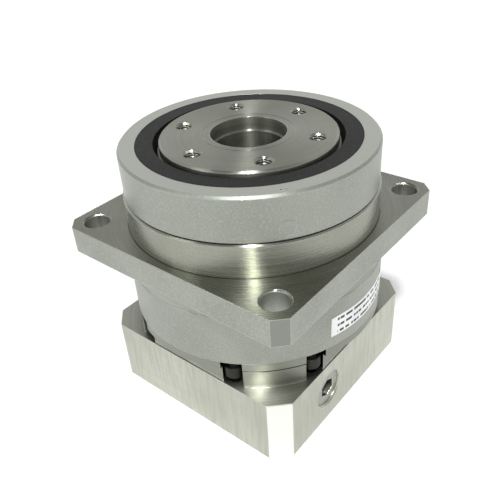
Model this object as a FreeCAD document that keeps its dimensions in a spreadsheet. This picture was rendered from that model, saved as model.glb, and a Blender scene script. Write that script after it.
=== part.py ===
import FreeCAD, Part
import math
import os
import re
import Sketcher

# Single-stage planetary servo gearbox with a rotating output flange.
# Frame: +Z is the output axis, the origin is the centre of the motor face, millimetres.

DIMS = {
    # how far a cutting tool runs past the face it opens
    "overrun": 1,
    # heights of the casing joints, from the motor face up
    "block_top_z": 31.5,
    "neck_top_z": 40.3,
    "groove_top_z": 40.9,
    "adapter_top_z": 44.7,
    "gear_case_top_z": 67.7,
    "flange_low_z": 73.5,
    "pilot_seat_z": 84,
    "mount_face_z": 85.5,
    "pilot_top_z": 99.8,
    "cover_low_z": 100.4,
    "cover_top_z": 118.8,
    "output_face_z": 119.8,
    # adapter block
    "block_side": 101,
    "block_corner": 7.4,
    "neck_radius": 56,
    "neck_flat_side": 100,
    "groove_radius": 55.3,
    "case_radius": 56.2,
    "motor_pilot_radius": 47.5,
    "motor_pilot_depth": 5,
    "motor_hole_spacing": 81.32,
    "motor_thread_radius": 4,
    "motor_thread_depth": 20,
    "collar_room_radius": 30,
    "collar_room_top_z": 24,
    # casing screws and their slots
    "casing_screw_circle": 51,
    "casing_screw_spread": 18,
    "casing_shank_radius": 2.5,
    "casing_hole_radius": 2.75,
    "casing_head_radius": 4.25,
    "casing_head_height": 5,
    "casing_thread_top_z": 80,
    "casing_screw_top_z": 78,
    "casing_hex": 2.31,
    "casing_hex_depth": 2.5,
    "slot_width": 9,
    "slot_reach": 10,
    "ledge_notch_radius": 51.3,
    "key_bore_radius": 2.5,
    # clamp access
    "access_offset": -15.9,
    "access_z": 16.5,
    "access_bore_radius": 5,
    "plug_radius": 8.4,
    "plug_mouth_radius": 9.3,
    "plug_length": 8,
    "plug_recess": 1.2,
    "plug_hex": 4.62,
    "plug_hex_depth": 5,
    # output housing
    "housing_neck_radius": 56.1,
    "flange_side": 115,
    "flange_corner": 5,
    "flange_hole_radius": 5.5,
    "flange_hole_spacing": 95.46,
    "hole_chamfer": 0.6,
    "pilot_radius": 54.1,
    "pilot_foot_radius": 52,
    "pilot_seat_radius": 54.3,
    "pilot_chamfer": 0.6,
    "bearing_outer_radius": 45,
    "bearing_shoulder_radius": 42,
    "spigot_radius": 48.95,
    "spigot_bore_radius": 49,
    "spigot_low_z": 94.3,
    # cover ring and seal
    "cover_radius": 53.5,
    "cover_chamfer": 1,
    "seal_outer_radius": 46.4,
    "seal_low_z": 110.8,
    "seal_mouth_radius": 39.1,
    "seal_lip_radius": 37.53,
    "seal_face_z": 118.7,
    "seal_lip_inset": 1,
    "seal_wall": 1.6,
    "ring_groove_z": 95.8,
    "ring_groove_width": 1.9,
    "ring_groove_radius": 47.3,
    "side_plug_radius": 3,
    "side_plug_angle": -37.3,
    "side_plug_z": 105,
    "side_plug_inner": 48.6,
    "side_plug_recess": 0.1,
    "stake_radius": 0.45,
    "stake_circle": 50.5,
    "stake_depth": 0.4,
    "stake_first_angle": -38.6,
    "stake_step": 2.3,
    # name label, left blank
    "label_thickness": 0.2,
    "label_low_z": 50.2,
    "label_high_z": 59.7,
    "label_first_angle": -20,
    "label_sweep": 42,
    # output flange and hub
    "output_radius": 36.7,
    "output_disc": 3.2,
    "output_chamfer": 0.8,
    "hub_radius": 37.5,
    "hub_top_z": 115.5,
    "seat_radius": 32.5,
    "hub_low_z": 71.2,
    "bore_radius": 15.75,
    "bore_depth": 6,
    "hollow_radius": 14.75,
    "rim_line_radius": 18.9,
    "rim_line_width": 0.3,
    "rim_line_depth": 0.15,
    "output_phase": 20,
    "tap_circle": 28.75,
    "tap_radius": 3,
    "tap_mouth_radius": 3.8,
    "tap_depth": 11.5,
    "cap_low_z": 84,
    "cap_thickness": 3,
    # main bearings, 65 x 90 x 13
    "bearing_width": 13,
    "front_bearing_z": 94,
    "rear_bearing_z": 71,
    "inner_race_radius": 36.2,
    "spacer_radius": 35.7,
    "outer_race_radius": 41.3,
    "ball_circle": 38.75,
    "ball_radius": 4.2,
    "ball_track_radius": 4.25,
    "ball_count": 20,
    "cage_inner": 37.9,
    "cage_outer": 39.6,
    "cage_height": 10.4,
    "cage_pocket_radius": 4.35,
    # planet carrier
    "carrier_radius": 43,
    "carrier_low_z": 64.2,
    "carrier_bore": 10,
    "cheek_low_z": 45.9,
    "cheek_top_z": 50.2,
    "cheek_bore": 13.5,
    "pillar_circle": 34,
    "pillar_radius": 7.2,
    "pin_radius": 5,
    "pin_low_z": 46.4,
    "pin_top_z": 70,
    "hub_screw_circle": 23,
    "flat_head_room": 0.2,
    "hub_screw_top_z": 84,
    "hub_thread_top_z": 86,
    "cheek_screw_top_z": 60,
    "cheek_thread_top_z": 62,
    "flat_head_radius": 4.25,
    "flat_head_height": 3,
    # gear set
    "gear_module": 1.25,
    "ring_teeth": 72,
    "planet_teeth": 27,
    "sun_teeth": 18,
    "tooth_thinning": 0.06,
    "ring_relief_z": 64.7,
    "ring_relief_radius": 46.9,
    "planet_low_z": 51.2,
    "planet_width": 12,
    "planet_bore": 7.05,
    "needle_circle": 6.03,
    "needle_radius": 1,
    "needle_count": 16,
    "needle_length": 11,
    "washer_radius": 9,
    "washer_bore": 5.05,
    "washer_thickness": 0.8,
    "low_washer_z": 50.3,
    "high_washer_z": 63.3,
    # sun shaft and its bearing, 25 x 42 x 9
    "sun_low_z": 50.7,
    "sun_width": 12.7,
    "sun_neck_radius": 9,
    "shaft_low_z": 8,
    "shaft_radius": 13,
    "motor_bore_radius": 9.5,
    "motor_bore_depth": 26,
    "shaft_seat_radius": 12.5,
    "shaft_shoulder_z": 33.2,
    "sun_centre_hole": 2,
    "shaft_slit_width": 1.6,
    "shaft_slit_top_z": 23.5,
    "input_bearing_width": 9,
    "input_bearing_outer": 21,
    "input_inner_race": 15.2,
    "input_outer_race": 18.8,
    "input_ball_circle": 17,
    "input_ball_radius": 2.6,
    "input_track_radius": 2.65,
    "input_ball_count": 14,
    "input_seal_outer": 19,
    "input_seal_lip": 13.03,
    "input_face_bore": 13.83,
    "input_lip_outer": 15.03,
    "input_seal_low_z": 24.4,
    "input_lip_low_z": 25,
    "input_lip_top_z": 28,
    "input_seal_top_z": 31,
    "input_web_radius": 16.5,
    "circlip_low_z": 42.3,
    "circlip_thickness": 1.1,
    "shaft_clip_groove": 11.8,
    "shaft_clip_outer": 14.6,
    "bore_clip_groove": 21.9,
    "bore_clip_inner": 19.2,
    # clamp collar
    "collar_radius": 25,
    "collar_low_z": 10.5,
    "collar_width": 12,
    "collar_slit": 2,
    "clamp_shank_radius": 2.5,
    "clamp_shank_start": -14,
    "clamp_head_start": 8,
    "clamp_head_radius": 4.25,
    "clamp_head_length": 5,
    "clamp_hole_radius": 2.6,
    "clamp_pocket_radius": 4.4,
}

PRESSURE_ANGLE = math.radians(20)
DEDENDUM = 1.25
TIP_OVERRUN = 0.6
ROOT_STEP = 0.3
CORNER_ANGLES = (45, 135, -135, -45)
PLANET_ANGLES = {"a": 0, "b": 120, "c": -120}

doc = FreeCAD.newDocument("planetary_gearbox")
sheet = doc.addObject("Spreadsheet::Sheet", "dims")
finished = []


def fill_sheet():
    for row, (alias, value) in enumerate(DIMS.items(), start=1):
        sheet.set(f"A{row}", alias)
        sheet.set(f"B{row}", str(value))
        sheet.setAlias(f"B{row}", alias)
    doc.recompute()


def dim(alias):
    return float(sheet.get(alias))


def bind(item, prop, formula):
    """Bind a property to a formula written with the sheet's aliases."""
    linked = re.sub(r"[a-z_]{3,}[a-z_0-9]*", alias_link, str(formula))
    item.setExpression(prop, linked)


def alias_link(match):
    word = match.group()
    return f"dims.{word}" if word in DIMS else word


def put(item, x=0, y=0, z=0):
    for axis, formula in zip("xyz", (x, y, z)):
        bind(item, f"Placement.Base.{axis}", formula)
    return item


def finish(item, name):
    item.Label = name
    finished.append(item)
    return item


def cylinder(name, radius, low, high, x=0, y=0):
    rod = doc.addObject("Part::Cylinder", name)
    bind(rod, "Radius", radius)
    bind(rod, "Height", f"({high}) - ({low})")
    return put(rod, x, y, low)


def cone(name, low_radius, high_radius, low, high, x=0, y=0):
    frustum = doc.addObject("Part::Cone", name)
    bind(frustum, "Radius1", low_radius)
    bind(frustum, "Radius2", high_radius)
    bind(frustum, "Height", f"({high}) - ({low})")
    return put(frustum, x, y, low)


def centred_box(name, length, width, low, high):
    box = doc.addObject("Part::Box", name)
    bind(box, "Length", length)
    bind(box, "Width", width)
    bind(box, "Height", f"({high}) - ({low})")
    return put(box, f"-({length}) / 2", f"-({width}) / 2", low)


def fuse(name, *shapes):
    union = doc.addObject("Part::MultiFuse", name)
    union.Shapes = list(shapes)
    return union


def common(name, *shapes):
    overlap = doc.addObject("Part::MultiCommon", name)
    overlap.Shapes = list(shapes)
    return overlap


def group(name, shapes):
    members = doc.addObject("Part::Compound", name)
    members.Links = list(shapes)
    return members


def cut(name, base, tool):
    rest = doc.addObject("Part::Cut", name)
    rest.Base = base
    rest.Tool = tool
    return rest


def tube(name, outer, inner, low, high):
    return cut(name, cylinder(f"{name}_outer", outer, low, high),
               cylinder(f"{name}_inner", inner, f"{low} - overrun", f"{high} + overrun"))


def hex_prism(name, corner_radius, low, high):
    prism = doc.addObject("Part::Prism", name)
    prism.Polygon = 6
    bind(prism, "Circumradius", corner_radius)
    bind(prism, "Height", f"({high}) - ({low})")
    return put(prism, z=low)


def turned_about_z(item, angle, circle, z):
    """Place an item at a radius and an angle, turned with the angle."""
    bind(item, "Placement.Rotation.Yaw", angle)
    return put(item, f"({circle}) * cos({angle})", f"({circle}) * sin({angle})", z)


def corner_square(name, side, corner, low, high):
    """Square plate whose four corners are cut at 45 degrees."""
    plate = centred_box(f"{name}_plate", side, side, low, high)
    across = f"(2 * ({side}) - 2 * ({corner})) / sqrt(2)"
    trim = centred_box(f"{name}_trim", across, across, low, high)
    trim.Placement.Rotation = FreeCAD.Rotation(45, 0, 0)
    bind(trim, "Placement.Base.x", "0")
    bind(trim, "Placement.Base.y", f"-({across}) / sqrt(2)")
    return common(name, plate, trim)


def casing_screw_angles():
    """The eight screws stand in pairs on both sides of each corner."""
    for corner in CORNER_ANGLES:
        for side in ("-", "+"):
            yield f"({corner} {side} casing_screw_spread)"


def ring_of_rods(name, radius, circle, low, high, angles):
    rods = []
    for number, angle in enumerate(angles):
        x = f"({circle}) * cos({angle})"
        y = f"({circle}) * sin({angle})"
        rods.append(cylinder(f"{name}_{number}", radius, low, high, x, y))
    return group(name, rods)


def square_of_rods(name, radius, spacing, low, high):
    rods = []
    for number, (across, along) in enumerate(((1, 1), (-1, 1), (-1, -1), (1, -1))):
        x = f"{across} * {spacing} / 2"
        y = f"{along} * {spacing} / 2"
        rods.append(cylinder(f"{name}_{number}", radius, low, high, x, y))
    return group(name, rods)


# ---------------------------------------------------------------- casing

def adapter_slot(number, angle):
    """Key slot open to the outside, with a shallow notch through the rim above it."""
    slot = doc.addObject("Part::Box", f"slot_{number}")
    bind(slot, "Length", "neck_radius - casing_screw_circle + slot_reach")
    bind(slot, "Width", "slot_width")
    bind(slot, "Height", "neck_top_z - block_top_z")
    turned_about_z(slot, angle, "casing_screw_circle", "block_top_z")
    bind(slot, "Placement.Base.x", f"casing_screw_circle * cos({angle}) + slot_width / 2 * sin({angle})")
    bind(slot, "Placement.Base.y", f"casing_screw_circle * sin({angle}) - slot_width / 2 * cos({angle})")
    end = cylinder(f"slot_end_{number}", "slot_width / 2", "block_top_z", "neck_top_z",
                   f"casing_screw_circle * cos({angle})", f"casing_screw_circle * sin({angle})")
    notch = doc.addObject("Part::Box", f"notch_{number}")
    bind(notch, "Length", "slot_reach")
    bind(notch, "Width", "slot_width")
    bind(notch, "Height", "adapter_top_z - neck_top_z + 2 * overrun")
    turned_about_z(notch, angle, "ledge_notch_radius", "neck_top_z - overrun")
    bind(notch, "Placement.Base.x", f"ledge_notch_radius * cos({angle}) + slot_width / 2 * sin({angle})")
    bind(notch, "Placement.Base.y", f"ledge_notch_radius * sin({angle}) - slot_width / 2 * cos({angle})")
    return fuse(f"slot_room_{number}", slot, end, notch)


def access_bore():
    """Bore to the clamp screw, along +X, with the seat of its plug and a chamfered mouth."""
    bore = cylinder("access_drill", "access_bore_radius", "0", "block_side / 2")
    seat = cylinder("access_seat", "plug_radius", "block_side / 2 - plug_length - plug_recess",
                    "block_side / 2 + overrun")
    mouth = cone("access_mouth", "plug_radius", "plug_mouth_radius + overrun",
                 "block_side / 2 - plug_mouth_radius + plug_radius", "block_side / 2 + overrun")
    rooms = fuse("access_room", bore, seat, mouth)
    rooms.Placement.Rotation = FreeCAD.Rotation(FreeCAD.Vector(0, 1, 0), 90)
    bind(rooms, "Placement.Base.y", "access_offset")
    bind(rooms, "Placement.Base.z", "access_z")
    return rooms


def adapter_bores():
    return fuse(
        "adapter_bores",
        cylinder("motor_pilot", "motor_pilot_radius", "-overrun", "motor_pilot_depth"),
        cylinder("collar_room", "collar_room_radius", "0", "collar_room_top_z"),
        cylinder("seal_seat", "input_seal_outer", "collar_room_top_z - overrun", "input_seal_top_z"),
        cylinder("web_hole", "input_web_radius", "collar_room_top_z - overrun",
                 "shaft_shoulder_z + overrun"),
        cylinder("bearing_seat", "input_bearing_outer", "shaft_shoulder_z", "adapter_top_z + overrun"),
        cylinder("clip_groove", "bore_clip_groove", "circlip_low_z",
                 "circlip_low_z + circlip_thickness"),
    )


def adapter_block():
    block = corner_square("block", "block_side", "block_corner", "0", "block_top_z")
    neck_round = cylinder("neck_round", "neck_radius", "block_top_z", "neck_top_z")
    neck_square = centred_box("neck_square", "neck_flat_side", "neck_flat_side",
                              "block_top_z", "neck_top_z")
    neck = common("neck", neck_round, neck_square)
    groove = cylinder("rim_groove", "groove_radius", "neck_top_z", "groove_top_z")
    rim = cylinder("rim", "case_radius", "groove_top_z", "adapter_top_z")
    solid = fuse("adapter_solid", block, neck, groove, rim)
    slots = [adapter_slot(number, angle) for number, angle in enumerate(casing_screw_angles())]
    holes = fuse(
        "adapter_holes", adapter_bores(), access_bore(), *slots,
        ring_of_rods("adapter_screw_holes", "casing_hole_radius", "casing_screw_circle",
                     "neck_top_z - overrun", "adapter_top_z + overrun", casing_screw_angles()),
        ring_of_rods("key_bores", "key_bore_radius", "casing_screw_circle",
                     "-overrun", "block_top_z + overrun", casing_screw_angles()),
        square_of_rods("motor_threads", "motor_thread_radius", "motor_hole_spacing",
                       "-overrun", "motor_thread_depth"),
    )
    finish(cut("adapter_block", solid, holes), "adapter_block")


def casing_screws():
    screws = []
    for number, angle in enumerate(casing_screw_angles()):
        head = cylinder(f"casing_head_{number}", "casing_head_radius",
                        "neck_top_z - casing_head_height", "neck_top_z")
        shank = cylinder(f"casing_shank_{number}", "casing_shank_radius",
                         "neck_top_z", "casing_screw_top_z")
        socket = hex_prism(f"casing_socket_{number}", "casing_hex",
                           "neck_top_z - casing_head_height - overrun",
                           "neck_top_z - casing_head_height + casing_hex_depth")
        screw = cut(f"casing_screw_{number}", fuse(f"casing_rod_{number}", head, shank), socket)
        screws.append(turned_about_z(screw, angle, "casing_screw_circle", "0"))
    finish(group("casing_screws", screws), "casing_screws")


def access_plug():
    body = cylinder("plug_body", "plug_radius", "-plug_length", "0")
    socket = hex_prism("plug_socket", "plug_hex", "-plug_hex_depth", "overrun")
    plug = cut("access_plug", body, socket)
    plug.Placement.Rotation = FreeCAD.Rotation(FreeCAD.Vector(0, 1, 0), 90)
    put(plug, "block_side / 2 - plug_recess", "access_offset", "access_z")
    finish(plug, "access_plug")


def mounting_flange():
    """Square flange on the short neck that closes the ring gear case."""
    neck = cylinder("flange_neck", "housing_neck_radius", "gear_case_top_z", "flange_low_z")
    square = corner_square("flange_square", "flange_side", "flange_corner",
                           "flange_low_z", "mount_face_z")
    chamfers = []
    for number, (across, along) in enumerate(((1, 1), (-1, 1), (-1, -1), (1, -1))):
        x = f"{across} * flange_hole_spacing / 2"
        y = f"{along} * flange_hole_spacing / 2"
        chamfers.append(cone(f"flange_mouth_{number}", "flange_hole_radius",
                             "flange_hole_radius + hole_chamfer + overrun",
                             "mount_face_z - hole_chamfer", "mount_face_z + overrun", x, y))
    holes = fuse(
        "flange_rooms",
        cylinder("rear_seat", "bearing_outer_radius", "gear_case_top_z - overrun",
                 "rear_bearing_z + bearing_width"),
        cylinder("pilot_seat", "pilot_seat_radius", "pilot_seat_z", "mount_face_z + overrun"),
        ring_of_rods("casing_threads", "casing_shank_radius", "casing_screw_circle",
                     "gear_case_top_z - overrun", "casing_thread_top_z", casing_screw_angles()),
        square_of_rods("flange_holes", "flange_hole_radius", "flange_hole_spacing",
                       "flange_low_z - overrun", "mount_face_z + overrun"),
        group("flange_mouths", chamfers),
    )
    solid = fuse("flange_solid", neck, square)
    finish(cut("mounting_flange", solid, holes), "mounting_flange")


def pilot_ring():
    """Round pilot that holds the cover's spigot, its foot in a relief groove of the flange."""
    foot = cylinder("pilot_foot", "pilot_foot_radius", "pilot_seat_z", "mount_face_z")
    wall = cylinder("pilot_wall", "pilot_radius", "mount_face_z", "pilot_top_z - pilot_chamfer")
    edge = cone("pilot_edge", "pilot_radius", "pilot_radius - pilot_chamfer",
                "pilot_top_z - pilot_chamfer", "pilot_top_z")
    rooms = fuse(
        "pilot_rooms",
        cylinder("pilot_shoulder", "bearing_shoulder_radius", "pilot_seat_z - overrun",
                 "pilot_top_z"),
        cylinder("spigot_seat", "spigot_bore_radius", "front_bearing_z", "pilot_top_z + overrun"),
    )
    finish(cut("pilot_ring", fuse("pilot_solid", foot, wall, edge), rooms), "pilot_ring")


def stake_marks():
    marks = []
    for number in range(2):
        angle = f"(stake_first_angle + {number} * stake_step)"
        marks.append(cylinder(f"stake_{number}", "stake_radius", "cover_top_z - stake_depth",
                              "cover_top_z + overrun", f"stake_circle * cos({angle})",
                              f"stake_circle * sin({angle})"))
    return group("stakes", marks)


def radial_rod(name, radius, inner, outer, angle, z):
    """Rod that points away from the axis at an angle, between two radii."""
    rod = doc.addObject("Part::Cylinder", name)
    bind(rod, "Radius", radius)
    bind(rod, "Height", f"({outer}) - ({inner})")
    tilt = FreeCAD.Rotation(FreeCAD.Vector(0, 1, 0), 90)
    turn = FreeCAD.Rotation(FreeCAD.Vector(0, 0, 1), angle)
    rod.Placement.Rotation = turn * tilt
    return put(rod, f"({inner}) * cos({angle})", f"({inner}) * sin({angle})", z)


def side_plug_rod(name, outer):
    return radial_rod(name, "side_plug_radius", "side_plug_inner", outer,
                      dim("side_plug_angle"), "side_plug_z")


def cover_ring():
    wall = cylinder("cover_wall", "cover_radius", "cover_low_z", "cover_top_z - cover_chamfer")
    edge = cone("cover_edge", "cover_radius", "cover_radius - cover_chamfer",
                "cover_top_z - cover_chamfer", "cover_top_z")
    spigot = cylinder("spigot", "spigot_radius", "spigot_low_z", "cover_low_z")
    solid = fuse("cover_solid", wall, edge, spigot)
    holes = fuse(
        "cover_holes",
        cylinder("front_seat", "bearing_outer_radius", "spigot_low_z - overrun",
                 "front_bearing_z + bearing_width"),
        cylinder("cover_shoulder", "bearing_shoulder_radius", "spigot_low_z", "cover_top_z"),
        cylinder("cover_seal_seat", "seal_outer_radius", "seal_low_z", "cover_top_z + overrun"),
        tube("ring_groove", "spigot_radius + overrun", "ring_groove_radius", "ring_groove_z",
             "ring_groove_z + ring_groove_width"),
        side_plug_rod("side_plug_hole", "cover_radius + overrun"),
        stake_marks(),
    )
    finish(cut("cover_ring", solid, holes), "cover_ring")


def side_plug():
    plug = side_plug_rod("side_plug", "cover_radius - side_plug_recess")
    finish(plug, "side_plug")


def cover_o_ring():
    ring = doc.addObject("Part::Torus", "cover_o_ring")
    bind(ring, "Radius1", "(ring_groove_radius + spigot_bore_radius) / 2")
    bind(ring, "Radius2", "(spigot_bore_radius - ring_groove_radius) / 2")
    put(ring, z="ring_groove_z + ring_groove_width / 2")
    finish(ring, "cover_o_ring")


def output_seal():
    """Rubber lip seal: outer case, face and a lip that runs on the hub."""
    case = tube("seal_case", "seal_outer_radius", "seal_outer_radius - seal_wall",
                "seal_low_z", "seal_face_z")
    face = tube("seal_face", "seal_outer_radius", "seal_mouth_radius",
                "seal_face_z - seal_wall", "seal_face_z")
    lip_body = cone("seal_lip_body", "seal_lip_radius + seal_wall",
                    "seal_mouth_radius + seal_lip_inset", "seal_low_z + seal_lip_inset",
                    "seal_face_z - seal_wall")
    lip_room = cone("seal_lip_room", "seal_lip_radius", "seal_mouth_radius",
                    "seal_low_z + seal_lip_inset", "seal_face_z - seal_wall")
    lip = cut("seal_lip", lip_body, lip_room)
    finish(fuse("output_seal", case, face, lip), "output_seal")


def name_label():
    strip = cylinder("label_strip", "case_radius + label_thickness", "label_low_z", "label_high_z")
    bind(strip, "Angle", "label_sweep")
    bind(strip, "Placement.Rotation.Yaw", "label_first_angle")
    core = cylinder("label_core", "case_radius", "label_low_z - overrun", "label_high_z + overrun")
    finish(cut("name_label", strip, core), "name_label")


# ---------------------------------------------------------------- gears

def involute(angle):
    return math.tan(angle) - angle


def flank_shift(radius, base_radius):
    """Angle between the flank at the pitch circle and the flank at a radius."""
    if radius <= base_radius:
        return involute(PRESSURE_ANGLE)
    return involute(PRESSURE_ANGLE) - involute(math.acos(base_radius / radius))


def space_outline(teeth, internal):
    """Corner points of one tooth space, centred on the X axis."""
    module = dim("gear_module")
    pitch_radius = module * teeth / 2
    base_radius = pitch_radius * math.cos(PRESSURE_ANGLE)
    half_space = math.pi / (2 * teeth) + dim("tooth_thinning") / (2 * pitch_radius)
    if internal:
        tip_radius = pitch_radius - module
        root_radius = pitch_radius + DEDENDUM * module
        flank = [tip_radius - TIP_OVERRUN, tip_radius, pitch_radius, root_radius]
        widths = [half_space + flank_shift(radius, base_radius) for radius in flank]
    else:
        tip_radius = pitch_radius + module
        root_radius = pitch_radius - DEDENDUM * module
        low_radius = max(base_radius, root_radius + ROOT_STEP)
        middle = (low_radius + pitch_radius) / 2
        flank = [root_radius, low_radius, middle, pitch_radius,
                 (pitch_radius + tip_radius) / 2, tip_radius, tip_radius + TIP_OVERRUN]
        widths = [half_space - flank_shift(radius, base_radius) for radius in flank]
        widths[0] = widths[1]
    side = [FreeCAD.Vector(radius * math.cos(width), radius * math.sin(width), 0)
            for radius, width in zip(flank, widths)]
    mirrored = [FreeCAD.Vector(point.x, -point.y, 0) for point in reversed(side)]
    return side + mirrored


def body_sketch(body, name):
    sketch = body.newObject("Sketcher::SketchObject", name)
    plane = [item for item in body.Origin.OriginFeatures if item.Role == "XY_Plane"][0]
    sketch.AttachmentSupport = [(plane, "")]
    sketch.MapMode = "FlatFace"
    return sketch


def blank_pad(body, outer_radius, inner_radius, height):
    """Round blank with a bore, both circles held by radius constraints."""
    sketch = body_sketch(body, f"{body.Name}_blank")
    for index, radius in enumerate((outer_radius, inner_radius)):
        circle = Part.Circle(FreeCAD.Vector(0, 0, 0), FreeCAD.Vector(0, 0, 1), 10 + index)
        sketch.addGeometry(circle, False)
        sketch.addConstraint(Sketcher.Constraint("Coincident", index, 3, -1, 1))
        number = sketch.addConstraint(Sketcher.Constraint("Radius", index, 10 + index))
        bind(sketch, f"Constraints[{number}]", radius)
    pad = body.newObject("PartDesign::Pad", f"{body.Name}_pad")
    pad.Profile = sketch
    bind(pad, "Length", height)
    return pad


def tooth_spaces(body, outline, turn, teeth, length):
    """Cut one tooth space and repeat it round the axis."""
    sketch = body_sketch(body, f"{body.Name}_space")
    rotation = FreeCAD.Rotation(FreeCAD.Vector(0, 0, 1), turn)
    corners = [rotation.multVec(point) for point in outline]
    for start, end in zip(corners, corners[1:] + corners[:1]):
        sketch.addGeometry(Part.LineSegment(start, end), False)
    pocket = body.newObject("PartDesign::Pocket", f"{body.Name}_pocket")
    pocket.Profile = sketch
    pocket.Reversed = True
    bind(pocket, "Length", length)
    pattern = body.newObject("PartDesign::PolarPattern", f"{body.Name}_pattern")
    pattern.Originals = [pocket]
    pattern.Axis = (sketch, ["N_Axis"])
    pattern.Angle = 360
    pattern.Refine = False
    bind(pattern, "Occurrences", teeth)
    body.Tip = pattern


def gear(name, outer_radius, inner_radius, height, turn, teeth, internal):
    body = doc.addObject("PartDesign::Body", name)
    blank_pad(body, outer_radius, inner_radius, height)
    outline = space_outline(int(dim(teeth)), internal)
    tooth_spaces(body, outline, turn, teeth, height)
    return body


def ring_gear():
    teeth = gear("ring_teeth_body", "case_radius", "gear_module * (ring_teeth / 2 - 1)",
                 "gear_case_top_z - adapter_top_z", 0, "ring_teeth", True)
    put(teeth, z="adapter_top_z")
    holes = fuse(
        "ring_holes",
        cylinder("ring_relief", "ring_relief_radius", "ring_relief_z", "gear_case_top_z + overrun"),
        ring_of_rods("ring_screw_holes", "casing_hole_radius", "casing_screw_circle",
                     "adapter_top_z - overrun", "gear_case_top_z + overrun", casing_screw_angles()),
    )
    finish(cut("ring_gear", teeth, holes), "ring_gear")


def planet_place(angle):
    """Centre of a planet whose angle is counted from the flange's first hole."""
    circle = "gear_module * (sun_teeth + planet_teeth) / 2"
    turn = f"(output_phase + {angle})"
    return f"{circle} * cos({turn})", f"{circle} * sin({turn})"


def planet(letter):
    x, y = planet_place(PLANET_ANGLES[letter])
    body = gear(f"planet_{letter}", "gear_module * (planet_teeth / 2 + 1)", "planet_bore",
                "planet_width", 0, "planet_teeth", False)
    put(body, x, y, "planet_low_z")
    finish(body, f"planet_{letter}")


def needles(letter):
    x, y = planet_place(PLANET_ANGLES[letter])
    rods = []
    for number in range(int(dim("needle_count"))):
        angle = f"({number} * 360 / needle_count)"
        low = "planet_low_z + (planet_width - needle_length) / 2"
        rods.append(cylinder(f"needle_{letter}_{number}", "needle_radius", low,
                             f"{low} + needle_length", f"{x} + needle_circle * cos({angle})",
                             f"{y} + needle_circle * sin({angle})"))
    finish(group(f"needles_{letter}", rods), f"needles_{letter}")


def thrust_washers():
    washers = []
    for letter, angle in PLANET_ANGLES.items():
        x, y = planet_place(angle)
        for level in ("low", "high"):
            washer = tube(f"washer_{level}_{letter}", "washer_radius", "washer_bore",
                          f"{level}_washer_z", f"{level}_washer_z + washer_thickness")
            washers.append(put(washer, x, y))
    finish(group("thrust_washers", washers), "thrust_washers")


# ---------------------------------------------------------------- output side

def output_angles(count, start=0):
    """Evenly spaced angles counted from the flange's first hole, each below half a turn."""
    steps = [start + number * 360 / count for number in range(count)]
    return [f"(output_phase + {step if step < 160 else step - 360})" for step in steps]


def output_flange():
    low = "output_face_z - output_disc"
    disc = cylinder("output_disc", "output_radius", "hub_top_z", "output_face_z - output_chamfer")
    edge = cone("output_edge", "output_radius", "output_radius - output_chamfer",
                "output_face_z - output_chamfer", "output_face_z")
    hub = cylinder("hub", "hub_radius", "front_bearing_z + bearing_width", "hub_top_z")
    seat = cylinder("hub_seat", "seat_radius", "hub_low_z", low)
    solid = fuse("output_solid", disc, edge, hub, seat)
    mouths = []
    for number, angle in enumerate(output_angles(6)):
        mouths.append(cone(f"tap_mouth_{number}", "tap_radius", "tap_mouth_radius + overrun",
                           "output_face_z - tap_mouth_radius + tap_radius", "output_face_z + overrun",
                           f"tap_circle * cos({angle})", f"tap_circle * sin({angle})"))
    holes = fuse(
        "output_holes",
        cylinder("centre_bore", "bore_radius", "output_face_z - bore_depth", "output_face_z + overrun"),
        cylinder("hollow", "hollow_radius", "hub_low_z - overrun", "output_face_z"),
        tube("rim_line", "rim_line_radius", "rim_line_radius - rim_line_width",
             "output_face_z - rim_line_depth", "output_face_z + overrun"),
        ring_of_rods("taps", "tap_radius", "tap_circle", "output_face_z - tap_depth",
                     "output_face_z + overrun", output_angles(6)),
        group("tap_mouths", mouths),
        ring_of_rods("hub_threads", "casing_shank_radius", "hub_screw_circle",
                     "hub_low_z - overrun", "hub_thread_top_z", output_angles(6, 30)),
    )
    finish(cut("output_flange", solid, holes), "output_flange")


def bore_cap():
    cap = cylinder("bore_cap", "hollow_radius", "cap_low_z", "cap_low_z + cap_thickness")
    finish(cap, "bore_cap")


def planet_carrier():
    plate = cylinder("carrier_plate", "carrier_radius", "carrier_low_z", "rear_bearing_z")
    pillars = ring_of_rods("pillars", "pillar_radius", "pillar_circle", "cheek_top_z",
                           "rear_bearing_z", output_angles(3, 60))
    holes = fuse(
        "carrier_holes",
        cylinder("carrier_bore_hole", "carrier_bore", "carrier_low_z - overrun",
                 "rear_bearing_z + overrun"),
        ring_of_rods("carrier_pin_holes", "pin_radius", "gear_module * (sun_teeth + planet_teeth) / 2",
                     "carrier_low_z - overrun", "pin_top_z", output_angles(3)),
        ring_of_rods("hub_screw_holes", "casing_hole_radius", "hub_screw_circle",
                     "carrier_low_z - overrun", "rear_bearing_z + overrun", output_angles(6, 30)),
        ring_of_rods("hub_screw_heads", "flat_head_radius + flat_head_room", "hub_screw_circle",
                     "carrier_low_z - overrun", "carrier_low_z + flat_head_height", output_angles(6, 30)),
        ring_of_rods("pillar_threads", "casing_shank_radius", "pillar_circle",
                     "cheek_top_z - overrun", "cheek_thread_top_z", output_angles(3, 60)),
    )
    solid = fuse("carrier_solid", plate, pillars)
    finish(cut("planet_carrier", solid, holes), "planet_carrier")


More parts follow.
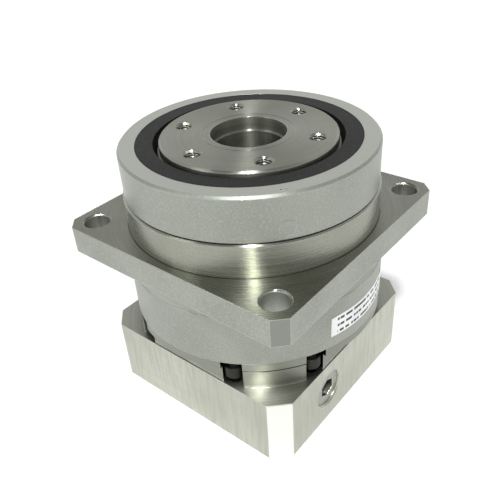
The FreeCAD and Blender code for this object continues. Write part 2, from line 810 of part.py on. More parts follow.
def carrier_cheek():
    disc = cylinder("cheek_disc", "carrier_radius", "cheek_low_z", "cheek_top_z")
    holes = fuse(
        "cheek_holes",
        cylinder("cheek_bore_hole", "cheek_bore", "cheek_low_z - overrun", "cheek_top_z + overrun"),
        ring_of_rods("cheek_pin_holes", "pin_radius", "gear_module * (sun_teeth + planet_teeth) / 2",
                     "pin_low_z", "cheek_top_z + overrun", output_angles(3)),
        ring_of_rods("cheek_screw_holes", "casing_hole_radius", "pillar_circle",
                     "cheek_low_z - overrun", "cheek_top_z + overrun", output_angles(3, 60)),
        ring_of_rods("cheek_screw_heads", "flat_head_radius + flat_head_room", "pillar_circle",
                     "cheek_low_z - overrun", "cheek_low_z + flat_head_height", output_angles(3, 60)),
    )
    finish(cut("carrier_cheek", disc, holes), "carrier_cheek")


def flat_screws(name, circle, head_z, top_z, angles):
    screws = []
    for number, angle in enumerate(angles):
        head = cylinder(f"{name}_head_{number}", "flat_head_radius", head_z,
                        f"{head_z} + flat_head_height")
        shank = cylinder(f"{name}_shank_{number}", "casing_shank_radius",
                         f"{head_z} + flat_head_height", top_z)
        socket = hex_prism(f"{name}_socket_{number}", "casing_hex", f"{head_z} - overrun",
                           f"{head_z} + flat_head_height / 2")
        screw = cut(f"{name}_{number}", fuse(f"{name}_rod_{number}", head, shank), socket)
        screws.append(turned_about_z(screw, angle, circle, "0"))
    finish(group(name, screws), name)


def planet_pins():
    pins = ring_of_rods("planet_pins", "pin_radius", "gear_module * (sun_teeth + planet_teeth) / 2",
                        "pin_low_z", "pin_top_z", output_angles(3))
    finish(pins, "planet_pins")


def ball_track(name, circle, radius, z):
    track = doc.addObject("Part::Torus", name)
    bind(track, "Radius1", circle)
    bind(track, "Radius2", radius)
    return put(track, z=z)


def balls(name, count, circle, radius, z):
    spheres = []
    for number in range(int(dim(count))):
        angle = f"({number} * 360 / {count})"
        sphere = doc.addObject("Part::Sphere", f"{name}_{number}")
        bind(sphere, "Radius", radius)
        spheres.append(put(sphere, f"{circle} * cos({angle})", f"{circle} * sin({angle})", z))
    return group(name, spheres)


def main_bearing(place, low):
    """Ball bearing of the output hub: two races, balls and their cage."""
    high = f"{low} + bearing_width"
    middle = f"{low} + bearing_width / 2"
    outer = tube(f"{place}_outer_ring", "bearing_outer_radius", "outer_race_radius", low, high)
    inner = tube(f"{place}_inner_ring", "inner_race_radius", "seat_radius", low, high)
    for side, ring in (("outer", outer), ("inner", inner)):
        track = ball_track(f"{place}_{side}_track", "ball_circle", "ball_track_radius", middle)
        name = f"{place}_{side}_race"
        finish(cut(name, ring, track), name)
    name = f"{place}_balls"
    finish(balls(name, "ball_count", "ball_circle", "ball_radius", middle), name)
    strip = tube(f"{place}_cage_strip", "cage_outer", "cage_inner", f"{middle} - cage_height / 2",
                 f"{middle} + cage_height / 2")
    pockets = group(f"{place}_pockets", [
        radial_rod(f"{place}_pocket_{number}", "cage_pocket_radius", "cage_inner - overrun",
                   "cage_outer + overrun", number * 360 / dim("ball_count"), middle)
        for number in range(int(dim("ball_count")))
    ])
    name = f"{place}_cage"
    finish(cut(name, strip, pockets), name)


def race_spacer():
    spacer = tube("race_spacer", "spacer_radius", "seat_radius",
                  "rear_bearing_z + bearing_width", "front_bearing_z")
    finish(spacer, "race_spacer")


# ---------------------------------------------------------------- input side

def sun_shaft():
    sun = gear("sun_teeth_body", "gear_module * (sun_teeth / 2 + 1)", "sun_centre_hole", "sun_width",
               180 / dim("sun_teeth"), "sun_teeth", False)
    put(sun, z="sun_low_z")
    lower = cylinder("shaft_lower", "shaft_radius", "shaft_low_z", "shaft_shoulder_z")
    seat = cylinder("shaft_seat", "shaft_seat_radius", "shaft_shoulder_z", "adapter_top_z")
    neck = cylinder("sun_neck", "sun_neck_radius", "adapter_top_z", "sun_low_z + overrun")
    slits = []
    for number, turn in enumerate((0, 90)):
        slit = centred_box(f"shaft_slit_{number}", "3 * shaft_radius", "shaft_slit_width",
                           "shaft_low_z - overrun", "shaft_slit_top_z")
        slit.Placement.Rotation = FreeCAD.Rotation(turn, 0, 0)
        if turn:
            put(slit, "shaft_slit_width / 2", "-1.5 * shaft_radius", "shaft_low_z - overrun")
        slits.append(slit)
    holes = fuse(
        "shaft_holes",
        cylinder("motor_bore", "motor_bore_radius", "shaft_low_z - overrun",
                 "shaft_low_z + motor_bore_depth"),
        tube("shaft_clip_room", "shaft_radius + overrun", "shaft_clip_groove", "circlip_low_z",
             "circlip_low_z + circlip_thickness"),
        *slits,
    )
    solid = fuse("shaft_solid", lower, seat, neck, sun)
    finish(cut("sun_shaft", solid, holes), "sun_shaft")


def input_bearing():
    low = "shaft_shoulder_z"
    high = "shaft_shoulder_z + input_bearing_width"
    middle = "shaft_shoulder_z + input_bearing_width / 2"
    outer = tube("input_outer_ring", "input_bearing_outer", "input_outer_race", low, high)
    inner = tube("input_inner_ring", "input_inner_race", "shaft_seat_radius", low, high)
    for side, ring in (("outer", outer), ("inner", inner)):
        track = ball_track(f"input_{side}_track", "input_ball_circle", "input_track_radius", middle)
        name = f"input_{side}_race"
        finish(cut(name, ring, track), name)
    spheres = balls("input_balls", "input_ball_count", "input_ball_circle", "input_ball_radius",
                    middle)
    finish(spheres, "input_balls")


def input_seal():
    case = tube("input_seal_case", "input_seal_outer", "input_seal_outer - seal_wall",
                "input_seal_low_z", "input_seal_top_z")
    face = tube("input_seal_face", "input_seal_outer", "input_face_bore",
                "input_seal_low_z", "input_seal_low_z + seal_wall")
    lip = tube("input_seal_lip_ring", "input_lip_outer", "input_seal_lip",
               "input_lip_low_z", "input_lip_top_z")
    finish(fuse("input_seal", case, face, lip), "input_seal")


def circlips():
    high = "circlip_low_z + circlip_thickness"
    shaft_clip = tube("shaft_circlip", "shaft_clip_outer", "shaft_clip_groove",
                      "circlip_low_z", high)
    bore_clip = tube("bore_circlip", "bore_clip_groove", "bore_clip_inner", "circlip_low_z", high)
    finish(shaft_clip, "shaft_circlip")
    finish(bore_clip, "bore_circlip")


def clamp_rod(name, radius, start, end):
    """Rod along +X on the line of the clamp screw."""
    rod = doc.addObject("Part::Cylinder", name)
    bind(rod, "Radius", radius)
    bind(rod, "Height", f"({end}) - ({start})")
    rod.Placement.Rotation = FreeCAD.Rotation(FreeCAD.Vector(0, 1, 0), 90)
    return put(rod, start, "access_offset", "access_z")


def clamp_collar():
    ring = tube("collar_ring", "collar_radius", "shaft_radius", "collar_low_z",
                "collar_low_z + collar_width")
    slit = doc.addObject("Part::Box", "collar_slit_room")
    bind(slit, "Length", "collar_slit")
    bind(slit, "Width", "collar_radius + overrun")
    bind(slit, "Height", "collar_width + 2 * overrun")
    put(slit, "-collar_slit / 2", "-collar_radius - overrun", "collar_low_z - overrun")
    holes = fuse(
        "collar_holes", slit,
        clamp_rod("clamp_hole", "clamp_hole_radius", "clamp_shank_start", "collar_radius"),
        clamp_rod("clamp_pocket", "clamp_pocket_radius", "clamp_head_start", "collar_radius"),
    )
    finish(cut("clamp_collar", ring, holes), "clamp_collar")


def clamp_screw():
    shank = clamp_rod("clamp_shank", "clamp_shank_radius", "clamp_shank_start", "clamp_head_start")
    head = clamp_rod("clamp_head", "clamp_head_radius", "clamp_head_start",
                     "clamp_head_start + clamp_head_length")
    socket = hex_prism("clamp_socket", "casing_hex", "0", "clamp_head_length")
    socket.Placement.Rotation = FreeCAD.Rotation(FreeCAD.Vector(0, 1, 0), 90)
    put(socket, "clamp_head_start + clamp_head_length / 2", "access_offset", "access_z")
    finish(cut("clamp_screw", fuse("clamp_rods", shank, head), socket), "clamp_screw")


# ---------------------------------------------------------------- build and export

def build():
    fill_sheet()
    adapter_block()
    casing_screws()
    access_plug()
    mounting_flange()
    pilot_ring()
    cover_ring()
    side_plug()
    cover_o_ring()
    output_seal()
    name_label()
    ring_gear()
    for letter in PLANET_ANGLES:
        planet(letter)
        needles(letter)
    thrust_washers()
    output_flange()
    bore_cap()
    planet_carrier()
    carrier_cheek()
    flat_screws("hub_screws", "hub_screw_circle", "carrier_low_z", "hub_screw_top_z",
                output_angles(6, 30))
    flat_screws("cheek_screws", "pillar_circle", "cheek_low_z", "cheek_screw_top_z",
                output_angles(3, 60))
    planet_pins()
    main_bearing("front", "front_bearing_z")
    main_bearing("rear", "rear_bearing_z")
    race_spacer()
    sun_shaft()
    input_bearing()
    input_seal()
    circlips()
    clamp_collar()
    clamp_screw()
    doc.recompute()


def check():
    for item in doc.Objects:
        if {"Invalid", "Error"} & set(item.State):
            raise RuntimeError(f"{item.Label} failed: {item.State}")
    for item in finished:
        if item.Shape.isNull() or not item.Shape.isValid():
            raise RuntimeError(f"{item.Label} has no valid shape")


def export():
    os.makedirs("parts", exist_ok=True)
    for item in finished:
        item.Shape.exportStep(os.path.join("parts", f"{item.Label}.step"))
        print(f"{item.Label}: {len(item.Shape.Solids)} solids, {item.Shape.Volume:.1f} mm3")


build()
check()
export()
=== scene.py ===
import math

import bmesh
import bpy
from mathutils import Matrix, Vector


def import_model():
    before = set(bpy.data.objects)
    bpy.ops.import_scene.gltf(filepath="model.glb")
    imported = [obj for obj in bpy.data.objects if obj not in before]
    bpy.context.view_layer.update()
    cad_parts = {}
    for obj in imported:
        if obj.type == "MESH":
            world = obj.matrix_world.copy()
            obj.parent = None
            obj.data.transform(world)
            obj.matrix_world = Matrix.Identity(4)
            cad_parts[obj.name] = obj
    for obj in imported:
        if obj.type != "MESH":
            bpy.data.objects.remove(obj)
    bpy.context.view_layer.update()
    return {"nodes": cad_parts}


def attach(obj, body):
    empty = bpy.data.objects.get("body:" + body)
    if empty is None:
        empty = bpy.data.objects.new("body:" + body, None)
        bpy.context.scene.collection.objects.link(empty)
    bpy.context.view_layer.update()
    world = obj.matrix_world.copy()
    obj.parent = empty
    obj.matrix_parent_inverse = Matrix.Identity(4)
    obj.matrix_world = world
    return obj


MM = 0.001

# Heights of the finishes' borders, in metres above the motor face.
BLOCK_TOP = 31.5 * MM
MOUNT_FACE = 85.5 * MM
FLANGE_FACE = 119.8 * MM

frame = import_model()
nodes = frame["nodes"]


# ---------------------------------------------------------------- node trees

def srgb(red, green, blue):
    """Linear colour from the usual 0 to 255 values."""
    def linear(value):
        share = value / 255
        return share / 12.92 if share <= 0.04045 else ((share + 0.055) / 1.055) ** 2.4
    return (linear(red), linear(green), linear(blue), 1.0)


class Tree:
    """Adds nodes to a material and returns their output sockets."""

    def __init__(self, name):
        self.material = bpy.data.materials.new(name)
        self.material.use_nodes = True
        self.nodes = self.material.node_tree.nodes
        self.links = self.material.node_tree.links
        self.nodes.clear()
        self.coords = self.node("TexCoord").outputs["Object"]
        split = self.node("SeparateXYZ")
        self.feed(split, {0: self.coords})
        self.x, self.y, self.z = split.outputs
        self.normal = self.node("NewGeometry").outputs["Normal"]

    def node(self, kind, **settings):
        made = self.nodes.new("ShaderNode" + kind)
        for key, value in settings.items():
            setattr(made, key, value)
        return made

    def feed(self, node, inputs):
        for key, value in inputs.items():
            socket = node.inputs[key]
            if isinstance(value, bpy.types.NodeSocket):
                self.links.new(value, socket)
            else:
                socket.default_value = value

    def calc(self, operation, *values):
        made = self.node("Math", operation=operation)
        self.feed(made, dict(enumerate(values)))
        return made.outputs[0]

    def ramp(self, value, low, high, at_low=0.0, at_high=1.0):
        """Value mapped from low..high to at_low..at_high, and held outside."""
        made = self.node("MapRange", interpolation_type="SMOOTHSTEP")
        self.feed(made, dict(enumerate((value, low, high, at_low, at_high))))
        return made.outputs[0]

    def vector(self, x, y, z):
        made = self.node("CombineXYZ")
        self.feed(made, {0: x, 1: y, 2: z})
        return made.outputs[0]

    def noise(self, vector, scale=1.0, detail=2.0):
        made = self.node("TexNoise")
        self.feed(made, {"Vector": vector, "Scale": scale, "Detail": detail})
        return made.outputs[0]

    def mix(self, share, first, second):
        made = self.node("Mix", data_type="RGBA")
        self.feed(made, {0: share, 6: first, 7: second})
        return made.outputs[2]

    def between(self, share, first, second):
        made = self.node("Mix", data_type="FLOAT")
        self.feed(made, {0: share, 2: first, 3: second})
        return made.outputs[0]

    def radius(self):
        return self.calc("SQRT", self.calc("ADD", self.calc("MULTIPLY", self.x, self.x),
                                           self.calc("MULTIPLY", self.y, self.y)))

    def facing_up(self):
        """1 on faces square to the axis, 0 on the sides."""
        split = self.node("SeparateXYZ")
        self.feed(split, {0: self.normal})
        return self.ramp(self.calc("ABSOLUTE", split.outputs[2]), 0.75, 0.95)

    def lathe(self, pitch):
        """Noise in rings on the faces and in hoops on the sides, as a lathe tool leaves."""
        turn = self.calc("ARCTAN2", self.y, self.x)
        rings = self.vector(self.calc("DIVIDE", self.radius(), pitch),
                            self.calc("DIVIDE", self.z, pitch), self.calc("MULTIPLY", turn, 0.7))
        return self.noise(rings, detail=3.0)

    def milled(self, pitch):
        """Noise in long level lines on the sides, as a milling cutter leaves."""
        lines = self.vector(self.calc("MULTIPLY", self.x, 25), self.calc("MULTIPLY", self.y, 25),
                            self.calc("DIVIDE", self.z, pitch))
        return self.noise(lines, detail=3.0)

    def rounded(self, size):
        """Normal as if the edges were rounded, and how much of an edge a point is."""
        made = self.node("Bevel", samples=6)
        self.feed(made, {"Radius": size})
        dot = self.node("VectorMath", operation="DOT_PRODUCT")
        self.feed(dot, {0: made.outputs[0], 1: self.normal})
        return made.outputs[0], self.ramp(dot.outputs["Value"], 0.995, 0.85)

    def bump(self, height, depth, normal):
        made = self.node("Bump")
        self.feed(made, {"Height": height, "Strength": 1.0, "Distance": depth, "Normal": normal})
        return made.outputs[0]

    def crevice(self, reach, open_share=0.75, closed_share=0.2):
        """1 in corners and gaps, 0 in the open; the finishes use it to paint shade there."""
        made = self.node("AmbientOcclusion", samples=6)
        self.feed(made, {"Distance": reach})
        return self.ramp(made.outputs["AO"], open_share, closed_share)

    def corner_face(self, circle):
        """1 on the flats that cut a square part's corners, 0 elsewhere."""
        split = self.node("SeparateXYZ")
        self.feed(split, {0: self.normal})
        slant = self.calc("ABSOLUTE", self.calc("MULTIPLY", split.outputs[0], split.outputs[1]))
        return self.calc("MULTIPLY", self.ramp(slant, 0.47, 0.49),
                         self.calc("GREATER_THAN", self.radius(), circle))

    def hoops(self):
        """Direction that runs round the axis, along the lathe's hoops."""
        made = self.node("Tangent", direction_type="RADIAL", axis="Z")
        return made.outputs[0]

    def shader(self, **inputs):
        made = self.node("BsdfPrincipled")
        self.feed(made, {key.replace("_", " ").title(): value for key, value in inputs.items()})
        return made.outputs[0]

    def turned_shader(self, colour, roughness, normal, anisotropy=0.97):
        """Metal whose fine hoops stretch each highlight across them."""
        return self.shader(base_color=colour, metallic=1.0, roughness=roughness, normal=normal,
                           anisotropic=anisotropy, anisotropic_rotation=0.25,
                           tangent=self.hoops())

    def either(self, share, first, second):
        made = self.node("MixShader")
        self.feed(made, {0: share, 1: first, 2: second})
        return made.outputs[0]

    def finish(self, surface):
        out = self.node("OutputMaterial")
        self.feed(out, {"Surface": surface})
        return self.material


# ---------------------------------------------------------------- metals

STEEL_WORN = srgb(236, 238, 228)


def darker(colour, share):
    return tuple(share * value for value in colour[:3]) + (1.0,)


def turned_metal(name, colour, worn, roughness, anisotropy=0.97, pitch=0.5 * MM, edge=0.35 * MM,
                 ring_contrast=0.25, depth=0.003 * MM):
    """Lathe-turned metal with fine rings, shade painted dark into its crevices, and bright edges."""
    tree = Tree(name)
    rings = tree.lathe(pitch)
    cloud = tree.noise(tree.coords, 45.0, 4.0)
    normal, edge_share = tree.rounded(edge)
    tint = tree.mix(tree.ramp(cloud, 0.3, 0.7), colour, darker(colour, 0.9))
    tint = tree.mix(tree.ramp(rings, 0.35, 0.75, 0.0, ring_contrast), tint, worn)
    tint = tree.mix(tree.calc("MULTIPLY", edge_share, 0.8), tint, worn)
    # Painted shade: corners and gaps are darkened towards a quarter of the metal's colour.
    tint = tree.mix(tree.calc("MULTIPLY", tree.crevice(3 * MM), 0.6), tint, darker(colour, 0.25))
    rough = tree.ramp(rings, 0.25, 0.75, roughness - 0.04, roughness + 0.04)
    rough = tree.between(edge_share, rough, roughness * 0.7)
    return tree.finish(tree.turned_shader(tint, rough, tree.bump(rings, depth, normal), anisotropy))


def ground_metal():
    """Ground face and rim, with shade painted dark on the walls of its small holes."""
    tree = Tree("ground_metal")
    rings = tree.lathe(0.5 * MM)
    cloud = tree.noise(tree.coords, 45.0, 4.0)
    normal, edge_share = tree.rounded(0.35 * MM)
    split = tree.node("SeparateXYZ")
    tree.feed(split, {0: tree.normal})
    upright = tree.ramp(tree.calc("ABSOLUTE", split.outputs[2]), 0.5, 0.3)
    inside = tree.calc("MULTIPLY", tree.calc("GREATER_THAN", tree.radius(), 18 * MM),
                       tree.calc("LESS_THAN", tree.radius(), 32 * MM))
    hole_shade = tree.calc("MULTIPLY", upright, inside)
    tint = tree.mix(tree.ramp(cloud, 0.3, 0.7), srgb(170, 171, 159), srgb(160, 161, 149))
    tint = tree.mix(tree.ramp(rings, 0.35, 0.75, 0.0, 0.1), tint, STEEL_WORN)
    tint = tree.mix(tree.calc("MULTIPLY", edge_share, 0.8), tint, STEEL_WORN)
    # Painted shade: corners and gaps are darkened towards a dark grey.
    tint = tree.mix(tree.calc("MULTIPLY", tree.crevice(3 * MM), 0.6), tint, srgb(70, 71, 66))
    # Painted shade: the walls of the threaded holes are painted nearly black.
    tint = tree.mix(tree.calc("MULTIPLY", hole_shade, 0.9), tint, srgb(30, 30, 28))
    rough = tree.between(edge_share, tree.ramp(rings, 0.25, 0.75, 0.30, 0.36), 0.24)
    return tree.finish(tree.turned_shader(tint, rough, tree.bump(rings, 0.0015 * MM, normal), 0.9))


def satin_metal(name, colour, worn, roughness, metallic, edge=0.4 * MM):
    """Even silver coat with a fine grain and edges rubbed bright, light painted on the faces square
    to the axis, and shade painted into crevices.
    """
    tree = Tree(name)
    grain = tree.noise(tree.coords, 2200.0, 3.0)
    cloud = tree.noise(tree.coords, 30.0, 4.0)
    normal, edge_share = tree.rounded(edge)
    tint = tree.mix(tree.ramp(cloud, 0.3, 0.7), colour, darker(colour, 0.92))
    tint = tree.mix(tree.ramp(grain, 0.45, 0.8, 0.0, 0.3), tint, worn)
    # Painted light: faces square to the axis are painted lighter than the sides.
    tint = tree.mix(tree.calc("MULTIPLY", tree.facing_up(), 0.75), tint, srgb(206, 210, 201))
    tint = tree.mix(tree.calc("MULTIPLY", edge_share, 0.8), tint, worn)
    # Painted shade: corners and gaps are darkened towards a third of the coat's colour.
    tint = tree.mix(tree.calc("MULTIPLY", tree.crevice(4 * MM), 0.5), tint, darker(colour, 0.3))
    rough = tree.ramp(cloud, 0.3, 0.7, roughness - 0.04, roughness + 0.04)
    rough = tree.between(edge_share, rough, roughness * 0.7)
    return tree.finish(tree.shader(base_color=tint, metallic=metallic, roughness=rough,
                                   normal=tree.bump(grain, 0.01 * MM, normal)))


def housing_metal():
    """Turned on the mounting face and above it, satin on the flange's sides and below."""
    tree = Tree("housing_metal")
    turned = tree.ramp(tree.z, MOUNT_FACE - 0.45 * MM, MOUNT_FACE - 0.3 * MM)
    rings = tree.lathe(0.45 * MM)
    grain = tree.noise(tree.coords, 2200.0, 3.0)
    cloud = tree.noise(tree.coords, 35.0, 4.0)
    normal, edge_share = tree.rounded(0.45 * MM)
    worn = srgb(238, 240, 230)
    bright = tree.mix(tree.ramp(rings, 0.3, 0.75), srgb(154, 156, 145), srgb(168, 170, 158))
    bright = tree.mix(tree.ramp(cloud, 0.35, 0.7, 0.0, 0.7), bright, srgb(146, 147, 134))
    bright = tree.mix(tree.calc("MULTIPLY", edge_share, 0.75), bright, worn)
    dull = tree.mix(tree.ramp(cloud, 0.3, 0.7), srgb(158, 162, 153), srgb(149, 152, 143))
    dull = tree.mix(tree.ramp(grain, 0.45, 0.8, 0.0, 0.3), dull, worn)
    # Painted shade: the flange's corner flats are painted darker than its sides.
    dull = tree.mix(tree.corner_face(65 * MM), dull, srgb(138, 141, 133))
    dull = tree.mix(tree.calc("MULTIPLY", edge_share, 0.9), dull, worn)
    rough_bright = tree.ramp(rings, 0.3, 0.7, 0.24, 0.30)
    rough_dull = tree.between(edge_share, 0.45, 0.28)
    lathed = tree.turned_shader(bright, rough_bright, tree.bump(rings, 0.0012 * MM, normal))
    satin = tree.shader(base_color=dull, metallic=0.8, roughness=rough_dull,
                        normal=tree.bump(grain, 0.01 * MM, normal))
    return tree.finish(tree.either(turned, satin, lathed))


def adapter_metal():
    """Milled aluminium block, turned on its top face, neck and rim."""
    tree = Tree("adapter_metal")
    turned = tree.ramp(tree.z, BLOCK_TOP - 0.45 * MM, BLOCK_TOP - 0.3 * MM)
    rings = tree.lathe(0.5 * MM)
    lines = tree.milled(0.7 * MM)
    strokes = tree.noise(tree.vector(tree.calc("MULTIPLY", tree.x, 700),
                                     tree.calc("MULTIPLY", tree.y, 700),
                                     tree.calc("MULTIPLY", tree.z, 60)), detail=3.0)
    cloud = tree.noise(tree.coords, 28.0, 5.0)
    normal, edge_share = tree.rounded(0.5 * MM)
    worn = srgb(246, 248, 240)
    milled = tree.mix(tree.ramp(lines, 0.3, 0.7), srgb(186, 188, 176), srgb(200, 202, 190))
    milled = tree.mix(tree.ramp(cloud, 0.35, 0.7, 0.0, 0.7), milled, srgb(176, 178, 165))
    milled = tree.mix(tree.ramp(strokes, 0.4, 0.7, 0.0, 0.55), milled, srgb(166, 168, 156))
    # Painted light: the block's corner flats are painted much lighter than its sides.
    milled = tree.mix(tree.corner_face(55 * MM), milled, srgb(240, 241, 234))
    milled = tree.mix(tree.calc("MULTIPLY", edge_share, 0.9), milled, worn)
    lathed = tree.mix(tree.ramp(rings, 0.3, 0.7), srgb(178, 180, 168), srgb(196, 198, 186))
    lathed = tree.mix(tree.calc("MULTIPLY", edge_share, 0.8), lathed, worn)
    # Painted shade: the neck under the casing is painted darker than the rim.
    neck = tree.ramp(tree.z, BLOCK_TOP + 0.5 * MM, BLOCK_TOP + 2.0 * MM)
    lathed = tree.mix(tree.calc("MULTIPLY", neck, 0.8), lathed, srgb(132, 134, 124))
    # Painted shade: gaps and the room under the casing are darkened nearly to black.
    lathed = tree.mix(tree.calc("MULTIPLY", tree.crevice(20 * MM, 0.7, 0.25), 0.8), lathed,
                      srgb(46, 48, 44))
    rough_milled = tree.between(edge_share, tree.ramp(lines, 0.3, 0.7, 0.34, 0.42), 0.28)
    flat = tree.shader(base_color=milled, metallic=1.0, roughness=rough_milled,
                       normal=tree.bump(lines, 0.006 * MM, normal))
    round_part = tree.turned_shader(lathed, tree.ramp(rings, 0.3, 0.7, 0.30, 0.36),
                                    tree.bump(rings, 0.003 * MM, normal), 0.9)
    return tree.finish(tree.either(turned, flat, round_part))


# ---------------------------------------------------------------- rubber and label

def rubber():
    """Black rubber with fine rings and edges rubbed grey."""
    tree = Tree("seal_rubber")
    grain = tree.noise(tree.coords, 1800.0, 3.0)
    cloud = tree.noise(tree.coords, 60.0, 4.0)
    normal, edge_share = tree.rounded(0.3 * MM)
    tint = tree.mix(tree.ramp(cloud, 0.3, 0.7), srgb(10, 11, 9), srgb(18, 20, 17))
    tint = tree.mix(tree.ramp(tree.lathe(0.6 * MM), 0.45, 0.7, 0.0, 0.5), tint, srgb(34, 36, 32))
    tint = tree.mix(tree.calc("MULTIPLY", edge_share, 0.4), tint, srgb(80, 81, 80))
    rough = tree.ramp(grain, 0.3, 0.7, 0.5, 0.65)
    return tree.finish(tree.shader(base_color=tint, metallic=0.0, roughness=rough,
                                   normal=tree.bump(grain, 0.02 * MM, normal)))


def label_film():
    """White printed film with a thin frame and rows of plain blocks in place of print."""
    tree = Tree("label_film")
    turn = tree.calc("ARCTAN2", tree.y, tree.x)
    across = tree.calc("DIVIDE", tree.calc("ADD", turn, 0.349), 0.733)
    upward = tree.calc("DIVIDE", tree.calc("SUBTRACT", tree.z, 50.2 * MM), 9.5 * MM)
    rows = tree.calc("MULTIPLY", upward, 3)
    words = tree.noise(tree.vector(tree.calc("MULTIPLY", across, 26),
                                   tree.calc("FLOOR", rows), 0.0), detail=0.0)
    row = tree.calc("FRACT", rows)
    in_row = tree.calc("MULTIPLY", tree.ramp(row, 0.26, 0.30), tree.ramp(row, 0.70, 0.66))
    in_line = tree.calc("MULTIPLY", tree.ramp(across, 0.07, 0.08), tree.ramp(across, 0.90, 0.89))
    ink = tree.calc("MULTIPLY", tree.calc("MULTIPLY", in_row, in_line),
                    tree.ramp(words, 0.44, 0.46))
    cloud = tree.noise(tree.coords, 90.0, 3.0)
    paper = tree.mix(tree.ramp(cloud, 0.3, 0.7), srgb(238, 239, 238), srgb(226, 228, 228))
    tint = tree.mix(ink, paper, srgb(46, 46, 48))
    normal, _ = tree.rounded(0.1 * MM)
    rough = tree.ramp(cloud, 0.3, 0.7, 0.35, 0.5)
    return tree.finish(tree.shader(base_color=tint, metallic=0.0, roughness=rough,
                                   normal=tree.bump(cloud, 0.01 * MM, normal)))


FINISHES = {
    "adapter_aluminium": adapter_metal(),
    "casing_grey": satin_metal("casing_metal", srgb(154, 158, 149), srgb(224, 227, 218), 0.42, 0.75),
    "housing_steel": housing_metal(),
    "ground_steel": ground_metal(),
    "gear_steel": turned_metal("gear_metal", srgb(150, 150, 144), STEEL_WORN, 0.36),
    "bearing_steel": turned_metal("bearing_metal", srgb(180, 181, 174), STEEL_WORN, 0.22),
    "dark_steel": turned_metal("black_oxide", srgb(26, 26, 26), srgb(70, 70, 68), 0.55, 0.3),
    "plug_steel": turned_metal("plug_metal", srgb(160, 161, 154), STEEL_WORN, 0.34, 0.5),
    "bronze": turned_metal("bronze", srgb(186, 140, 84), srgb(226, 188, 130), 0.34, 0.5),
    "black_rubber": rubber(),
    "label_film": label_film(),
}

for item in nodes.values():
    for place in item.material_slots:
        place.material = FINISHES[place.material.name.split(".")[0]]
# The casing's screws sit in deep slots and are painted the dull grey of the slots' shade instead of
# the other dark steel.
nodes["casing_screws"].material_slots[0].material = turned_metal(
    "slot_shade_steel", srgb(62, 63, 58), srgb(84, 85, 80), 0.6, 0.3)


# ---------------------------------------------------------------- screw threads

def thread_ridges(name, centres, radius, pitch, depth, low, high):
    """Helical ridges of a screw thread on the walls of plain round holes."""
    made = bmesh.new()
    steps = 24
    count = int((high - low) / pitch * steps)
    half = 0.42 * pitch
    for across, along in centres:
        rows = []
        for step in range(count + 1):
            turn = 2 * math.pi * step / steps
            ends = min(1.0, (step + 1) / steps, (count - step + 1) / steps)
            crest = radius - depth * ends
            height = low + pitch * step / steps
            rows.append([made.verts.new((across + reach * math.cos(turn),
                                         along + reach * math.sin(turn), height + rise))
                         for reach, rise in ((radius, -half), (crest, 0.0), (radius, half))])
        for first, second in zip(rows, rows[1:]):
            for side in range(3):
                after = (side + 1) % 3
                made.faces.new((first[side], first[after], second[after], second[side]))
        made.faces.new(rows[0][::-1])
        made.faces.new(rows[-1])
    bmesh.ops.recalc_face_normals(made, faces=made.faces)
    mesh = bpy.data.meshes.new(name)
    made.to_mesh(mesh)
    made.free()
    piece = bpy.data.objects.new(name, mesh)
    bpy.context.scene.collection.objects.link(piece)
    mesh.materials.append(THREAD_METAL)
    return piece


THREAD_METAL = turned_metal("thread_metal", srgb(150, 151, 142), STEEL_WORN, 0.3, 0.3,
                            edge=0.08 * MM)
TAP_CIRCLE = 28.75 * MM
taps = [math.radians(20 + 60 * number) for number in range(6)]
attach(thread_ridges("tap_threads",
                      [(TAP_CIRCLE * math.cos(turn), TAP_CIRCLE * math.sin(turn)) for turn in taps],
                      3.0 * MM, 1.0 * MM, 0.5 * MM, FLANGE_FACE - 10 * MM, FLANGE_FACE - 1.2 * MM),
        "output")


# ---------------------------------------------------------------- floor, light and camera

OBJECT_MIDDLE = Vector((0, 0, 0.06))


def floor():
    """Plain white floor, wide enough to fill every view."""
    mesh = bpy.data.meshes.new("floor")
    side = 3.0
    mesh.from_pydata([(-side, -side, 0), (side, -side, 0), (side, side, 0), (-side, side, 0)], [],
                     [(0, 1, 2, 3)])
    plane = bpy.data.objects.new("floor", mesh)
    bpy.context.scene.collection.objects.link(plane)
    material = bpy.data.materials.new("floor_white")
    material.use_nodes = True
    tree = material.node_tree
    shader = tree.nodes["Principled BSDF"]
    shader.inputs["Base Color"].default_value = (0.7, 0.7, 0.7, 1)
    shader.inputs["Roughness"].default_value = 0.6
    shader.inputs["Emission Color"].default_value = (1, 1, 1, 1)
    shader.inputs["Emission Strength"].default_value = 0.34
    mesh.materials.append(material)


def world():
    """A pale room: light walls, darker above."""
    made = bpy.data.worlds.new("room")
    made.use_nodes = True
    tree = made.node_tree
    tree.nodes.clear()
    coords = tree.nodes.new("ShaderNodeTexCoord")
    split = tree.nodes.new("ShaderNodeSeparateXYZ")
    ramp = tree.nodes.new("ShaderNodeValToRGB")
    light = tree.nodes.new("ShaderNodeBackground")
    out = tree.nodes.new("ShaderNodeOutputWorld")
    tree.links.new(coords.outputs["Generated"], split.inputs[0])
    tree.links.new(split.outputs["Z"], ramp.inputs[0])
    tree.links.new(ramp.outputs[0], light.inputs[0])
    tree.links.new(light.outputs[0], out.inputs[0])
    stops = ramp.color_ramp.elements
    stops[0].position, stops[0].color = 0.0, (1.0, 1.0, 0.96, 1)
    stops[1].position, stops[1].color = 1.0, (0.12, 0.12, 0.12, 1)
    for place, level in ((0.05, 1.0), (0.3, 0.62), (0.78, 0.52), (0.86, 0.14)):
        stops.new(place).color = (level, level, level, 1)
    bpy.context.scene.world = made


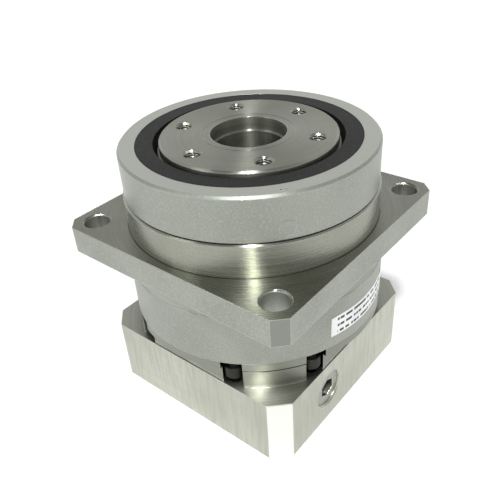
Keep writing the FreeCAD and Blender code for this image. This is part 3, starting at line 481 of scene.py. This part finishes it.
def direction(azimuth, elevation):
    """Unit vector away from the object: degrees from +X towards +Y, and above level."""
    turn, rise = math.radians(azimuth), math.radians(elevation)
    return Vector((math.cos(turn) * math.cos(rise), math.sin(turn) * math.cos(rise), math.sin(rise)))


def area_light(name, azimuth, elevation, distance, width, height, power):
    """Soft light that faces the object's middle."""
    lamp = bpy.data.lights.new(name, "AREA")
    lamp.shape = "RECTANGLE"
    lamp.size, lamp.size_y = width, height
    lamp.energy = power
    made = bpy.data.objects.new(name, lamp)
    bpy.context.scene.collection.objects.link(made)
    away = direction(azimuth, elevation)
    made.location = OBJECT_MIDDLE + away * distance
    made.rotation_mode = "QUATERNION"
    made.rotation_quaternion = away.to_track_quat("Z", "Y")


def camera():
    """Camera above the front corner; azimuth from -Y towards +X."""
    azimuth, elevation, roll = math.radians(40.89), math.radians(33.40), math.radians(3.92)
    aim = Vector((4.4, -9.0, 70.75)) * MM
    distance = 265.5 * MM
    away = Vector((math.sin(azimuth) * math.cos(elevation),
                   -math.cos(azimuth) * math.cos(elevation), math.sin(elevation)))
    lens = bpy.data.cameras.new("camera")
    lens.sensor_width = 36.0
    lens.lens = 43.8
    lens.clip_start, lens.clip_end = 0.01, 20.0
    made = bpy.data.objects.new("camera", lens)
    bpy.context.scene.collection.objects.link(made)
    made.location = aim + away * distance
    made.rotation_mode = "QUATERNION"
    level = (-away).to_track_quat("-Z", "Y")
    made.rotation_quaternion = level @ Matrix.Rotation(-roll, 4, "Z").to_quaternion()
    bpy.context.scene.camera = made


def far_light(name, azimuth, elevation, angle, strength):
    """Far round light, even over the whole floor."""
    lamp = bpy.data.lights.new(name, "SUN")
    lamp.angle = math.radians(angle)
    lamp.energy = strength
    made = bpy.data.objects.new(name, lamp)
    bpy.context.scene.collection.objects.link(made)
    made.rotation_mode = "QUATERNION"
    made.rotation_quaternion = direction(azimuth, elevation).to_track_quat("Z", "Y")


floor()
world()
far_light("main_light", -55, 63, 5, 2.2)
area_light("left_strip", -121, 32, 0.9, 0.02, 0.5, 0.3)
area_light("left_strip_two", -109, 32, 0.9, 0.02, 0.5, 0.3)
camera()
bpy.context.scene.view_settings.view_transform = "Standard"
